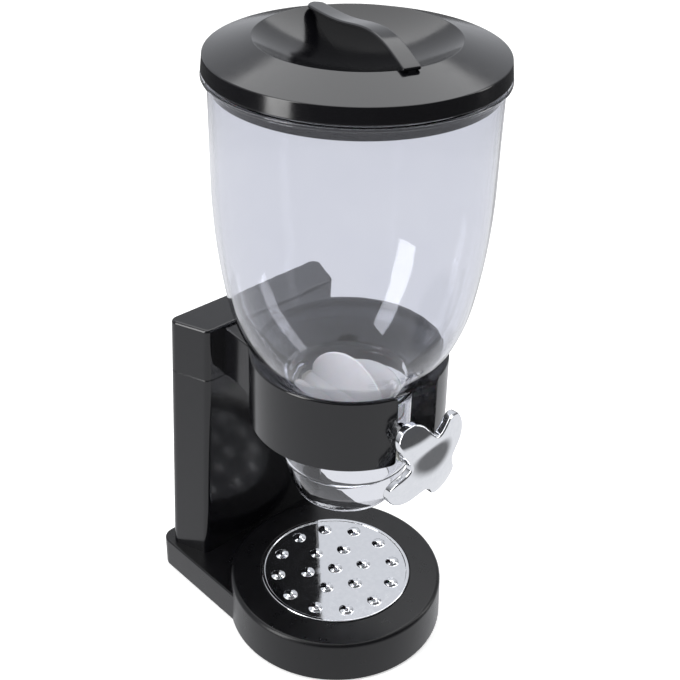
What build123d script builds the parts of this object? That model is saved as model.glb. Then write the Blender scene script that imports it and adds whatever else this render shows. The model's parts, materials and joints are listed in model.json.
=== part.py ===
from build123d import *
import math
import os

os.makedirs("parts", exist_ok=True)

# Dry food dispenser with a clear canister, a paddle wheel turned by a knob, and a black stand.
# All lengths are millimetres. The dispensing axis is the upright line through the middle of the
# canister. Heights are above the table. Other places are measured from the dispensing axis,
# with the knob on the -Y side and the column behind, on the +Y side.

# Clearances
slip_gap = 0.3
running_gap = 0.05
seat_gap = 0.3
cheek_gap = 0.9
edge_break = 0.6

# Base
base_lift = 1.5
base_wall = 2.6
platform_radius = 70.7
platform_height = 29.5
platform_draft = 1.9
platform_setback = 7.0
platform_edge = 3.0
heel_half_width = 62.8
heel_height = 21.6
heel_margin = 8.5
heel_corner = 9.0
heel_edge = 1.2
recess_depth = 5.0
rib_thickness = 1.8
rib_height = 10.0
pad_radius = 7.0
pad_thickness = 3.3
front_pad_inset = 15.5
front_pad_turn = 46.5
rear_pad_inset = 13.0
rear_pad_margin = 10.8

# Column
column_gap = 4.5
column_height = 147.5
column_ledge = 1.8
column_flare = 10.5
column_depth = 28.8
column_front_corner = 5.0
column_rear_corner = 5.0
column_wall = 3.0
column_lean = 4.05
seam_bevel = 0.4
spigot_height = 5.0
spigot_wall = 2.0
deck_drop = 10.0
deck_thickness = 3.0

# Screws, shared by both joints of the column
screw_spacing = 24.0
screw_count = 4
screw_radius = 1.6
screw_head_radius = 3.4
screw_head_height = 2.2
screw_length = 14.0
screw_slot = 0.8
boss_radius = 4.5
boss_height = 26.0
pilot_spare = 2.0

# Support arm
block_height = 37.6
block_edge = 2.0
arm_wall = 3.0
neck_half_width = 38.0
neck_step = 1.9
neck_fall = 3.2
neck_sag = 3.0
collar_hang = 6.4
collar_height = 46.5
collar_radius = 59.2
collar_wall = 3.1
collar_draft = 0.5
collar_edge = 1.4
slot_width = 30.4
slot_corner = 3.0
cheek_thickness = 2.5
ledge_drop = 8.2
ledge_thickness = 4.5

# Tray
tray_radius = 49.4
tray_thickness = 1.6
tray_rim_width = 2.2
tray_stand = 0.6
dome_radius = 4.5
dome_height = 2.0
inner_ring_radius = 19.3
outer_ring_inset = 10.5
outer_ring_turn = 28.0

# Canister
bell_radius = 76.7
bell_wall = 2.2
bell_height = 63.9
flange_width = 3.3
flange_thickness = 2.0
flange_drop = 6.0
shoulder_arc = 390.0
shoulder_turn = 10.3
funnel_arc = 109.4
seat_radius = 48.6
throat_radius = 37.5
chamber_step = 3.1
chamber_wall = 3.2
chamber_depth = 28.0
outlet_step = 2.6
outlet_drop = 2.7
outlet_length = 26.9
outlet_mouth_radius = 31.2
outlet_bulge = 1.3

# Shaft, bearings and wheel
shaft_drop = 24.5
shaft_radius = 4.0
shaft_flat = 3.2
front_boss_length = 9.9
rear_boss_length = 5.9
boss_outer_radius = 10.5
bush_radius = 7.6
bush_flange_radius = 9.4
bush_flange = 1.5
blade_gap = 1.4
blade_thickness = 1.8
blade_pairs = 3
blade_turn = 26.5
hub_radius = 7.5
sleeve_radius = 9.5
wheel_end_gap = 2.4
washer_radius = 6.5

# Knob
knob_gap = 1.0
knob_depth = 20.5
knob_tip_radius = 32.8
knob_lobe_width = 21.0
knob_lobe_turn = 33.0
knob_dome_rise = 7.7
knob_skirt = 5.2
knob_wall = 2.2
knob_valley = 7.0
knob_hub_radius = 8.5
knob_shaft_grip = 13.0

# Lid
lid_wall = 2.5
skirt_wall = 2.7
skirt_draft = 0.95
skirt_gap = 1.4
lid_edge_rise = 3.1
lid_edge_round = 0.9
crown_rise = 7.7
dish_radius = 53.6
dish_depth = 16.0
dish_edge_round = 0.5
plug_wall = 2.2
plug_depth = 14.0
gasket_thickness = 1.0
grip_turn = 16.6
grip_web = 4.0
grip_width = 10.0
grip_thickness = 2.2
grip_edge_round = 0.7
grip_overhang = 3.4
grip_front_rise = 1.6
grip_climb_place = 46.0
grip_climb_rise = 5.5
grip_peak_place = 27.0
grip_rise = 9.7
grip_fall_place = 10.0
grip_fall_rise = 5.3
grip_rear_rise = 2.4
grip_rear_margin = 0.6

# Places that follow from the sizes above
platform_top = base_lift + platform_height
heel_top = base_lift + heel_height
column_front = platform_setback + platform_radius + column_gap
heel_rear = column_front + column_depth + heel_margin
column_rear_half_width = heel_half_width - column_ledge
column_front_half_width = column_rear_half_width - column_flare
column_top = heel_top + column_height
block_top = column_top + block_height
neck_top_rear = block_top - neck_step
neck_top_front = neck_top_rear - neck_fall
collar_bottom = column_top - collar_hang
collar_top = collar_bottom + collar_height
ledge_bottom = collar_top - ledge_drop
ledge_top = ledge_bottom + ledge_thickness
chamber_radius = throat_radius + chamber_step
chamber_bore = chamber_radius - chamber_wall
wheel_radius = chamber_bore - blade_gap
front_boss_reach = chamber_radius + front_boss_length
rear_boss_reach = chamber_radius + rear_boss_length
outlet_radius = chamber_radius - outlet_step

# The bell's funnel is an arc that carries on from the shoulder's arc. Angles are slopes in radians.
shoulder_end = math.radians(shoulder_turn)
funnel_start_radius = bell_radius - shoulder_arc * (1 - math.cos(shoulder_end))


def funnel_angle(radius):
    """Slope of the funnel where it has a radius."""
    return math.acos(math.cos(shoulder_end) - (funnel_start_radius - radius) / funnel_arc)


def funnel_fall(radius):
    """Height from the top of the shoulder down to where the funnel has a radius."""
    start_fall = shoulder_arc * math.sin(shoulder_end)
    return start_fall + funnel_arc * (math.sin(funnel_angle(radius)) - math.sin(shoulder_end))


# The funnel rests on the collar's ledge, and the rest of the canister follows from that.
shoulder_height = ledge_bottom + funnel_fall(seat_radius)
mouth_height = shoulder_height + bell_height
throat_height = shoulder_height - funnel_fall(throat_radius)
shaft_height = throat_height - shaft_drop
chamber_bottom = shaft_height - chamber_depth
outlet_height = chamber_bottom - outlet_length
flange_radius = bell_radius + flange_width
flange_bottom = mouth_height - flange_drop - flange_thickness


def funnel_radius(height):
    """Outer radius of the funnel at a height."""
    start_height = shoulder_height - shoulder_arc * math.sin(shoulder_end)
    angle = math.asin(math.sin(shoulder_end) + (start_height - height) / funnel_arc)
    return funnel_start_radius - funnel_arc * (math.cos(shoulder_end) - math.cos(angle))


# The origin is under the middle of the whole dispenser, so the dispensing axis lies forward of it.
bush_face = front_boss_reach + bush_flange
front_reach = bush_face + knob_gap + knob_depth
axis_y = (max(front_reach, flange_radius) - heel_rear) / 2
spin = Axis((0, axis_y, 0), (0, 0, 1))
upright = Plane((0, axis_y, 0), x_dir=(1, 0, 0), z_dir=(0, -1, 0))
sideways = Plane((0, axis_y, 0), x_dir=(0, 1, 0), z_dir=(1, 0, 0))


def level(height, behind=0.0):
    """Horizontal plane at a height, with its origin that far behind the dispensing axis."""
    return Plane((0, axis_y + behind, height))


def facing_front(behind):
    """Upright plane square to the shaft, with its origin on the shaft's centre line."""
    return Plane((0, axis_y + behind, shaft_height), x_dir=(1, 0, 0), z_dir=(0, -1, 0))


# The column leans forward as it rises, so its plan moves along a slanting direction.
lean_angle = math.radians(column_lean)
lean_direction = (0, -math.sin(lean_angle), math.cos(lean_angle))


def column_level(height):
    """Horizontal plane whose origin is on the column's front face at a height."""
    shift = (height - heel_top) * math.tan(lean_angle)
    return level(height, column_front - shift)


def slant(rise):
    """Length along the leaning direction that rises by this much."""
    return rise / math.cos(lean_angle)


def column_plan(inset):
    """Plan of the column with rounded corners, wider at the rear, drawn that far inside."""
    with BuildSketch(Plane.XY) as plan:
        Polygon(
            (-column_front_half_width, 0),
            (column_front_half_width, 0),
            (column_rear_half_width, column_depth),
            (-column_rear_half_width, column_depth),
            align=None,
        )
        fillet(plan.vertices().group_by(Axis.Y)[-1], column_rear_corner)
        fillet(plan.vertices().group_by(Axis.Y)[0], column_front_corner)
        if inset > 0:
            offset(amount=-inset, mode=Mode.REPLACE)
    return plan.sketch


column_outline = column_plan(0)
column_bore = column_plan(column_wall)


# Base shell: a drafted round platform joined to a lower heel, hollow underneath.
recess_floor = platform_top - recess_depth
recess_radius = tray_radius + slip_gap
shoulder_radius = platform_radius - base_wall - platform_edge / 2
heel_ceiling = heel_top - base_wall
platform_ceiling = recess_floor - base_wall
wall_middle = platform_radius - base_wall / 2
boss_line = column_depth / 2
front_pad_ring = platform_radius - front_pad_inset
front_pad_side = front_pad_ring * math.sin(math.radians(front_pad_turn))
front_pad_ahead = front_pad_ring * math.cos(math.radians(front_pad_turn))
rear_pad_side = heel_half_width - rear_pad_margin
pad_places = [
    (-front_pad_side, platform_setback - front_pad_ahead),
    (front_pad_side, platform_setback - front_pad_ahead),
    (-rear_pad_side, heel_rear - rear_pad_inset),
    (rear_pad_side, heel_rear - rear_pad_inset),
]

with BuildPart() as base_shell:
    with BuildSketch(level(base_lift)) as heel_plan:
        with Locations((0, platform_setback)):
            Rectangle(
                2 * heel_half_width,
                heel_rear - platform_setback,
                align=(Align.CENTER, Align.MIN),
            )
        fillet(heel_plan.vertices().group_by(Axis.Y)[-1], heel_corner)
    extrude(amount=heel_height)
    fillet(base_shell.edges().group_by(Axis.Z)[-1], heel_edge)
    with BuildSketch(level(base_lift, platform_setback)):
        Circle(platform_radius)
    extrude(amount=platform_height, taper=platform_draft)
    fillet(base_shell.edges().group_by(Axis.Z)[-1], platform_edge)

    # Hollow from below: the heel, the platform, and a deeper groove under its shoulder
    with BuildSketch(level(base_lift)) as heel_hollow:
        with Locations((0, platform_setback)):
            Rectangle(
                2 * (heel_half_width - base_wall),
                heel_rear - platform_setback - base_wall,
                align=(Align.CENTER, Align.MIN),
            )
        fillet(heel_hollow.vertices().group_by(Axis.Y)[-1], heel_corner - base_wall)
    extrude(amount=heel_ceiling - base_lift, mode=Mode.SUBTRACT)
    with BuildSketch(level(base_lift, platform_setback)):
        Circle(platform_radius - base_wall)
    extrude(amount=platform_ceiling - base_lift, taper=platform_draft, mode=Mode.SUBTRACT)
    with BuildSketch(level(platform_ceiling, platform_setback)):
        Circle(shoulder_radius)
        Circle(recess_radius + base_wall, mode=Mode.SUBTRACT)
    extrude(amount=platform_top - base_wall - platform_ceiling, mode=Mode.SUBTRACT)

    # Ribs: a cross of three under the recess floor, two of them carried on along the heel
    with BuildSketch(level(platform_ceiling - rib_height, platform_setback)):
        with GridLocations(2 * screw_spacing, 0, 2, 1):
            Rectangle(rib_thickness, 2 * platform_radius)
        Rectangle(2 * platform_radius, rib_thickness)
        Circle(wall_middle, mode=Mode.INTERSECT)
    extrude(amount=rib_height + base_wall / 2)
    with BuildSketch(level(platform_ceiling - rib_height, heel_rear - base_wall / 2)):
        with GridLocations(2 * screw_spacing, 0, 2, 1):
            Rectangle(rib_thickness, heel_rear - platform_setback, align=(Align.CENTER, Align.MAX))
    extrude(amount=heel_ceiling + base_wall / 2 - platform_ceiling + rib_height)

    # Posts for the rubber pads
    with BuildSketch(level(base_lift)):
        with Locations(pad_places):
            Circle(pad_radius + base_wall)
    extrude(amount=heel_ceiling + base_wall / 2 - base_lift)
    with BuildSketch(level(heel_ceiling)):
        with Locations(pad_places[:2]):
            Circle(pad_radius + base_wall)
    extrude(amount=platform_top - base_wall / 2 - heel_ceiling)
    with BuildSketch(level(base_lift)):
        with Locations(pad_places):
            Circle(pad_radius + running_gap)
    extrude(amount=pad_thickness - base_lift, mode=Mode.SUBTRACT)

    # Recess for the tray
    with BuildSketch(level(recess_floor, platform_setback)):
        Circle(recess_radius)
    extrude(amount=recess_depth, mode=Mode.SUBTRACT)

    # Spigot that the foot of the column slips over
    with BuildSketch(column_level(heel_top)):
        add(column_plan(column_wall + slip_gap))
        add(column_plan(column_wall + slip_gap + spigot_wall), mode=Mode.SUBTRACT)
    extrude(amount=slant(spigot_height), dir=lean_direction)

    # Screw holes up into the column
    with BuildSketch(level(heel_ceiling, column_front + boss_line)):
        with GridLocations(screw_spacing, 0, screw_count, 1):
            Circle(screw_radius + slip_gap)
    extrude(amount=base_wall, mode=Mode.SUBTRACT)

with BuildPart() as rubber_feet:
    with BuildSketch(level(0)):
        with Locations(pad_places):
            Circle(pad_radius)
    extrude(amount=pad_thickness)
    chamfer(rubber_feet.edges().group_by(Axis.Z)[0], edge_break)

# Column: a leaning hollow post, with a deck near its top that the arm is screwed to.
deck_top = column_top - deck_drop
deck_bottom = deck_top - deck_thickness
deck_line = column_front - (deck_bottom - heel_top) * math.tan(lean_angle) + boss_line
pilot_depth = screw_length - base_wall + pilot_spare

with BuildPart() as column:
    with BuildSketch(column_level(heel_top)):
        add(column_outline)
    extrude(amount=slant(column_height - seam_bevel), dir=lean_direction)
    with BuildSketch(column_level(column_top - seam_bevel)):
        add(column_outline)
    extrude(amount=seam_bevel, taper=45)
    with BuildSketch(column_level(heel_top)):
        add(column_bore)
    extrude(amount=slant(deck_bottom - heel_top), dir=lean_direction, mode=Mode.SUBTRACT)
    with BuildSketch(column_level(deck_top)):
        add(column_bore)
    extrude(amount=slant(deck_drop), dir=lean_direction, mode=Mode.SUBTRACT)

    # Screw bosses at the foot, each tied to both walls by a rib above the spigot
    with BuildSketch(column_level(heel_top + spigot_height + slip_gap)):
        with Locations((0, boss_line)):
            with GridLocations(screw_spacing, 0, screw_count, 1):
                Rectangle(rib_thickness, column_depth - column_wall)
    extrude(amount=slant(boss_height - spigot_height), dir=lean_direction)
    with BuildSketch(level(heel_top, column_front + boss_line)):
        with GridLocations(screw_spacing, 0, screw_count, 1):
            Circle(boss_radius)
    extrude(amount=boss_height)
    with BuildSketch(level(heel_top, column_front + boss_line)):
        with GridLocations(screw_spacing, 0, screw_count, 1):
            Circle(screw_radius + running_gap)
    extrude(amount=pilot_depth, mode=Mode.SUBTRACT)

    # Clearance holes in the deck
    with BuildSketch(level(deck_bottom, deck_line)):
        with GridLocations(screw_spacing, 0, screw_count, 1):
            Circle(screw_radius + slip_gap)
    extrude(amount=deck_thickness, mode=Mode.SUBTRACT)

# Support arm: block on the column, neck, and open collar in one moulding, hollow from below.
collar_bore = collar_radius - collar_wall
seam_front = column_front - column_height * math.tan(lean_angle)
neck_rear = seam_front + arm_wall / 2
neck_front = math.sqrt(collar_bore**2 - neck_half_width**2) - edge_break
envelope_radius = chamber_radius + cheek_gap
envelope_turn = shoulder_height - funnel_fall(envelope_radius - seat_gap)
envelope_middle = (envelope_turn + collar_top) / 2

with BuildPart() as support_arm:
    with BuildSketch(column_level(column_top)):
        add(column_plan(seam_bevel))
    extrude(amount=seam_bevel, taper=-45)
    with BuildSketch(column_level(column_top + seam_bevel)):
        add(column_outline)
    extrude(amount=slant(block_height - seam_bevel), dir=lean_direction)
    fillet(support_arm.edges().group_by(Axis.Z)[-1], block_edge)
    with BuildSketch(sideways):
        with BuildLine():
            Polyline(
                (seam_front + seam_bevel, column_top),
                (neck_rear, column_top + arm_wall),
                (neck_rear - arm_wall, neck_top_rear),
                (neck_front, neck_top_front),
                (neck_front, collar_bottom),
                (neck_front + arm_wall, collar_bottom),
            )
            ThreePointArc(
                (neck_front + arm_wall, collar_bottom),
                ((neck_front + arm_wall + seam_front) / 2, (collar_bottom + column_top) / 2 + neck_sag),
                (seam_front + seam_bevel, column_top),
            )
        make_face()
    extrude(amount=neck_half_width, both=True)

    # One hollow through the block and the neck, open underneath
    with BuildSketch(column_level(column_top)):
        add(column_bore)
    extrude(amount=slant(block_height - arm_wall), dir=lean_direction, mode=Mode.SUBTRACT)
    with BuildSketch(sideways):
        with BuildLine():
            Polyline(
                (neck_rear + arm_wall, column_top),
                (neck_rear + arm_wall, neck_top_rear - arm_wall),
                (neck_front, neck_top_front - arm_wall),
                (neck_front, collar_bottom),
                (seam_front, collar_bottom),
                close=True,
            )
        make_face()
    extrude(amount=neck_half_width - arm_wall, both=True, mode=Mode.SUBTRACT)
    with BuildSketch(level(column_top, neck_front)):
        with GridLocations(screw_spacing, 0, 2, 1):
            Rectangle(
                rib_thickness,
                column_depth + seam_front - neck_front - 2 * column_wall,
                align=(Align.CENTER, Align.MIN),
            )
    extrude(amount=neck_top_front - arm_wall / 2 - column_top)

    # Bosses that stand on the column's deck, in line with its holes
    with BuildSketch(level(deck_top, deck_line)):
        with GridLocations(screw_spacing, 0, screw_count, 1):
            Circle(boss_radius)
    extrude(amount=block_top - arm_wall / 2 - deck_top)
    with BuildSketch(level(deck_top, deck_line)):
        with GridLocations(screw_spacing, 0, screw_count, 1):
            Circle(screw_radius + running_gap)
    extrude(amount=pilot_depth, mode=Mode.SUBTRACT)

    # Collar with a rounded upper edge, a ledge inside, and a cheek at each side of its slot
    with BuildSketch(level(collar_bottom)):
        Circle(collar_radius)
    extrude(amount=collar_height, taper=collar_draft)
    fillet(support_arm.edges().group_by(Axis.Z)[-1], collar_edge)
    with BuildSketch(level(collar_bottom)):
        Circle(collar_bore)
    extrude(amount=collar_height, mode=Mode.SUBTRACT)
    with BuildSketch(level(ledge_bottom)):
        Circle(collar_bore + collar_wall / 2)
        Circle(envelope_radius, mode=Mode.SUBTRACT)
    extrude(amount=ledge_thickness)
    with BuildSketch(level(collar_bottom)):
        with GridLocations(slot_width + cheek_thickness, 0, 2, 1):
            Rectangle(cheek_thickness, collar_radius, align=(Align.CENTER, Align.MAX))
        Circle(collar_bore + collar_wall / 2, mode=Mode.INTERSECT)
    extrude(amount=ledge_top - collar_bottom)

    # Room for the canister: its chamber, and the funnel that rests on the ledge
    with BuildSketch(upright):
        with BuildLine():
            Polyline(
                (0, collar_top),
                (0, collar_bottom),
                (envelope_radius, collar_bottom),
                (envelope_radius, envelope_turn),
            )
            ThreePointArc(
                (envelope_radius, envelope_turn),
                (funnel_radius(envelope_middle) + seat_gap, envelope_middle),
                (funnel_radius(collar_top) + seat_gap, collar_top),
            )
            Line((funnel_radius(collar_top) + seat_gap, collar_top), (0, collar_top))
        make_face()
    revolve(axis=spin, mode=Mode.SUBTRACT)

    # Front slot with flared ends, for the shaft's boss
    with BuildSketch(facing_front(0)):
        with Locations((0, collar_bottom + collar_height / 2 - shaft_height)):
            Rectangle(slot_width + 2 * slot_corner, collar_height)
            with GridLocations(slot_width + collar_radius, 0, 2, 1):
                RectangleRounded(collar_radius, collar_height, slot_corner, mode=Mode.SUBTRACT)
    extrude(amount=collar_radius + collar_wall, mode=Mode.SUBTRACT)


def screw_blank():
    """Pan-head screw along +Z with the underside of its head at the origin."""
    with BuildPart() as blank:
        with BuildSketch(Plane.XY.offset(-screw_head_height)):
            Circle(screw_head_radius)
        extrude(amount=screw_head_height)
        fillet(blank.edges().group_by(Axis.Z)[0], screw_head_height / 3)
        with BuildSketch(Plane.XY):
            Circle(screw_radius)
        extrude(amount=screw_length)
        chamfer(blank.edges().group_by(Axis.Z)[-1], screw_radius / 2)
        with BuildSketch(Plane.XY.offset(-screw_head_height)):
            Rectangle(screw_head_radius, screw_slot)
            Rectangle(screw_slot, screw_head_radius)
        extrude(amount=screw_head_height / 2, mode=Mode.SUBTRACT)
    return blank.part


screw = screw_blank()

with BuildPart(level(heel_ceiling, column_front + boss_line)) as column_screws:
    with GridLocations(screw_spacing, 0, screw_count, 1):
        add(screw)

with BuildPart(level(deck_bottom, deck_line)) as arm_screws:
    with GridLocations(screw_spacing, 0, screw_count, 1):
        add(screw)

# Tray: a thin disc with a standing rim and two rings of small domes round a middle one.
rim_top = platform_top + tray_stand
tray_side = Plane((0, axis_y + platform_setback, 0), x_dir=(1, 0, 0), z_dir=(0, -1, 0))
tray_spin = Axis((0, axis_y + platform_setback, 0), (0, 0, 1))


def dome_cap(radius, rise, depth):
    """Spherical cap of a radius and rise, standing on a short plug that reaches down."""
    cap_sphere = (radius**2 + rise**2) / (2 * rise)
    with BuildPart() as cap:
        with BuildSketch(Plane.XZ):
            with BuildLine():
                Polyline((0, rise), (0, -depth), (radius, -depth), (radius, 0))
                RadiusArc((radius, 0), (0, rise), -cap_sphere)
            make_face()
        revolve(axis=Axis.Z)
    return cap.part


dome_wall = tray_thickness / 2
dome = dome_cap(dome_radius, dome_height, dome_wall)
dome_hollow = dome_cap(dome_radius - dome_wall, dome_height - dome_wall, 2 * tray_thickness)

with BuildPart() as tray:
    with BuildSketch(tray_side) as tray_section:
        with Locations((0, platform_top - tray_thickness)):
            Rectangle(tray_radius - tray_rim_width / 2, tray_thickness, align=Align.MIN)
        with Locations((tray_radius - tray_rim_width, recess_floor)):
            Rectangle(tray_rim_width, rim_top - recess_floor, align=Align.MIN)
        fillet(tray_section.vertices().group_by(Axis.Y)[-1], tray_stand * 0.8)
    revolve(axis=tray_spin)
    with Locations(level(platform_top, platform_setback)):
        add(dome)
        add(dome_hollow, mode=Mode.SUBTRACT)
        with PolarLocations(inner_ring_radius, 6, start_angle=30):
            add(dome)
            add(dome_hollow, mode=Mode.SUBTRACT)
        with PolarLocations(tray_radius - outer_ring_inset, 12, start_angle=outer_ring_turn):
            add(dome)
            add(dome_hollow, mode=Mode.SUBTRACT)

# Canister: bell, rim flange, wheel chamber and outlet in one clear wall.
funnel_turn = math.degrees(funnel_angle(throat_radius)) - shoulder_turn
outlet_top = chamber_bottom - outlet_drop
outlet_middle = (outlet_radius + outlet_mouth_radius) / 2 + outlet_bulge
outlet_halfway = (outlet_top + outlet_height) / 2

with BuildPart() as canister:
    with BuildSketch(upright):
        with BuildLine() as bell_line:
            wall_line = Line((bell_radius, mouth_height), (bell_radius, shoulder_height))
            shoulder = JernArc(wall_line @ 1, (0, -1), shoulder_arc, -shoulder_turn)
            JernArc(shoulder @ 1, shoulder % 1, funnel_arc, -funnel_turn)
            offset(amount=bell_wall, side=Side.RIGHT)
        make_face()
        chamber_top = bell_line.vertices().sort_by(Axis.Y)[0].Y
        with BuildLine():
            outer_end = Polyline(
                (throat_radius - bell_wall, chamber_top),
                (throat_radius, chamber_top + bell_wall),
                (chamber_radius, chamber_top + bell_wall),
                (chamber_radius, chamber_bottom),
                (outlet_radius, outlet_top),
            )
            ThreePointArc(
                outer_end @ 1,
                (outlet_middle, outlet_halfway),
                (outlet_mouth_radius, outlet_height),
            )
            Line((outlet_mouth_radius, outlet_height), (outlet_mouth_radius - bell_wall, outlet_height))
            inner_curve = ThreePointArc(
                (outlet_mouth_radius - bell_wall, outlet_height),
                (outlet_middle - bell_wall, outlet_halfway),
                (outlet_radius - bell_wall, outlet_top),
            )
            Polyline(
                inner_curve @ 1,
                (chamber_bore, chamber_bottom + bell_wall),
                (chamber_bore, chamber_top - bell_wall),
                (throat_radius - bell_wall, chamber_top - bell_wall),
                (throat_radius - bell_wall, chamber_top),
            )
        make_face()
        with Locations((bell_radius - bell_wall / 2, flange_bottom)):
            Rectangle(flange_width + bell_wall / 2, flange_thickness, align=Align.MIN)
    revolve(axis=spin)

    # Bearing bosses: open at the front, closed at the rear
    with BuildSketch(facing_front(-(chamber_radius - chamber_wall / 2))):
        Circle(boss_outer_radius)
    extrude(amount=front_boss_length + chamber_wall / 2)
    with BuildSketch(facing_front(chamber_radius - chamber_wall / 2)):
        Circle(boss_outer_radius)
    extrude(amount=-(rear_boss_length + chamber_wall / 2))
    with BuildSketch(facing_front(-sleeve_radius)):
        Circle(bush_radius)
    extrude(amount=front_boss_reach, mode=Mode.SUBTRACT)
    with BuildSketch(facing_front(sleeve_radius)):
        Circle(bush_radius)
    extrude(amount=-(rear_boss_reach - bell_wall - sleeve_radius), mode=Mode.SUBTRACT)

# Bearings, shaft and sealing washer
wheel_half = chamber_bore - wheel_end_gap

with BuildPart() as front_bush:
    with BuildSketch(facing_front(-chamber_bore)):
        Circle(bush_radius - running_gap)
    extrude(amount=front_boss_reach - chamber_bore)
    with BuildSketch(facing_front(-front_boss_reach)):
        Circle(bush_flange_radius)
    extrude(amount=bush_flange)
    chamfer(front_bush.edges().group_by(Axis.Y)[0], bush_flange / 4)
    with BuildSketch(facing_front(-chamber_bore)):
        Circle(shaft_radius + running_gap)
    extrude(amount=front_reach, mode=Mode.SUBTRACT)

with BuildPart() as rear_bush:
    with BuildSketch(facing_front(chamber_bore)):
        Circle(bush_radius - running_gap)
        Circle(shaft_radius + running_gap, mode=Mode.SUBTRACT)
    extrude(amount=-(rear_boss_reach - bell_wall - chamber_bore))

shaft_rear = rear_boss_reach - bell_wall - slip_gap
shaft_front = bush_face + knob_gap + knob_shaft_grip

with BuildPart() as shaft:
    with BuildSketch(facing_front(shaft_rear)):
        Circle(shaft_radius)
    extrude(amount=shaft_rear + shaft_front)
    chamfer(shaft.edges().group_by(Axis.Y)[0], edge_break)
    # Two flats for the wheel, cut through to the rear end
    with BuildSketch(facing_front(shaft_rear)):
        with GridLocations(2 * shaft_flat + shaft_radius, 0, 2, 1):
            Rectangle(shaft_radius, 2 * shaft_radius)
    extrude(amount=shaft_rear + wheel_half, mode=Mode.SUBTRACT)
    # One flat for the knob
    with BuildSketch(facing_front(-(bush_face + knob_gap))):
        with Locations((0, shaft_flat)):
            Rectangle(2 * shaft_radius, shaft_radius, align=(Align.CENTER, Align.MIN))
    extrude(amount=knob_shaft_grip, mode=Mode.SUBTRACT)

with BuildPart() as seal_washer:
    with BuildSketch(facing_front(-wheel_half)):
        Circle(washer_radius)
        Circle(shaft_radius + running_gap, mode=Mode.SUBTRACT)
    extrude(amount=wheel_end_gap - slip_gap)

# Wheel: a stiff hub keyed to the shaft's flats, inside a soft sleeve with six round blades
with BuildPart() as wheel_hub:
    with BuildSketch(facing_front(wheel_half)):
        Circle(hub_radius)
        with BuildSketch(mode=Mode.PRIVATE) as keyed_bore:
            Circle(shaft_radius + running_gap)
            Rectangle(2 * (shaft_flat + running_gap), 4 * shaft_radius, mode=Mode.INTERSECT)
        add(keyed_bore.sketch, mode=Mode.SUBTRACT)
    extrude(amount=2 * wheel_half)

blade_end = wheel_half - wheel_end_gap

with BuildPart() as paddle_wheel:
    for turn in range(blade_pairs):
        angle = math.radians(blade_turn + turn * 180 / blade_pairs)
        blade_plane = Plane(
            (0, axis_y, shaft_height),
            x_dir=(math.cos(angle), 0, math.sin(angle)),
            z_dir=(-math.sin(angle), 0, math.cos(angle)),
        )
        with BuildSketch(blade_plane):
            Circle(wheel_radius)
            Rectangle(2 * wheel_radius, 2 * blade_end, mode=Mode.INTERSECT)
        extrude(amount=blade_thickness / 2, both=True)
    with BuildSketch(facing_front(blade_end)):
        Circle(sleeve_radius)
    extrude(amount=2 * blade_end)
    with BuildSketch(facing_front(wheel_half)):
        Circle(hub_radius + running_gap)
    extrude(amount=2 * wheel_half, mode=Mode.SUBTRACT)

# Knob: a shallow dome with four lobes and a skirt of even depth, hollow behind, with a hub on ribs
knob_back = -(bush_face + knob_gap)
knob_sphere = (knob_tip_radius**2 + knob_dome_rise**2) / (2 * knob_dome_rise)
knob_centre = front_reach - knob_sphere
knob_side = Plane((0, axis_y, shaft_height), x_dir=(1, 0, 0), z_dir=(0, 0, 1))
knob_spin = Axis((0, axis_y, shaft_height), (0, 1, 0))


def lobes(inset):
    """Outline of the four rounded lobes, drawn that far inside."""
    with BuildSketch(Plane.XY) as outline:
        for turn in (knob_lobe_turn, knob_lobe_turn + 90):
            SlotOverall(2 * knob_tip_radius, knob_lobe_width, rotation=turn)
        fillet(outline.vertices().group_by(lambda v: round(v.center().length, 1))[0], knob_valley)
        if inset > 0:
            offset(amount=-inset, mode=Mode.REPLACE)
    return outline.sketch


def knob_ball(shrink, behind):
    """Half section of the ball whose front is the knob's dome, that much smaller and further back."""
    with BuildSketch(Plane.XY) as section:
        with Locations((0, behind - knob_centre)):
            Circle(knob_sphere - shrink)
            Rectangle(2 * knob_sphere, 4 * knob_sphere, align=(Align.MAX, Align.CENTER), mode=Mode.SUBTRACT)
    return section.sketch


def lobed_blank(inset):
    """The lobes as a solid under the dome, that far inside the knob's own surface."""
    with BuildPart() as blank:
        with BuildSketch(facing_front(knob_back)):
            add(lobes(inset))
        extrude(amount=knob_depth)
        with BuildSketch(knob_side):
            add(knob_ball(inset, 0))
        revolve(axis=knob_spin, mode=Mode.INTERSECT)
    return blank.part


with BuildPart() as knob:
    add(lobed_blank(0))
    add(lobed_blank(knob_wall), mode=Mode.SUBTRACT)
    with BuildSketch(facing_front(knob_back)):
        with PolarLocations(0, 2, start_angle=knob_lobe_turn):
            Rectangle(2 * knob_tip_radius - knob_wall, rib_thickness)
    extrude(amount=knob_depth)
    with BuildSketch(knob_side):
        add(knob_ball(0, knob_skirt))
    revolve(axis=knob_spin, mode=Mode.SUBTRACT)
    with BuildSketch(facing_front(knob_back)):
        Circle(knob_hub_radius)
    extrude(amount=knob_depth)
    with BuildSketch(knob_side):
        add(knob_ball(0, 0))
    revolve(axis=knob_spin, mode=Mode.INTERSECT)
    with BuildSketch(facing_front(knob_back)):
        Circle(shaft_radius + running_gap)
        with Locations((0, shaft_flat + running_gap + shaft_radius)):
            Rectangle(4 * shaft_radius, 2 * shaft_radius, mode=Mode.SUBTRACT)
    extrude(amount=knob_shaft_grip + slip_gap, mode=Mode.SUBTRACT)

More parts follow.
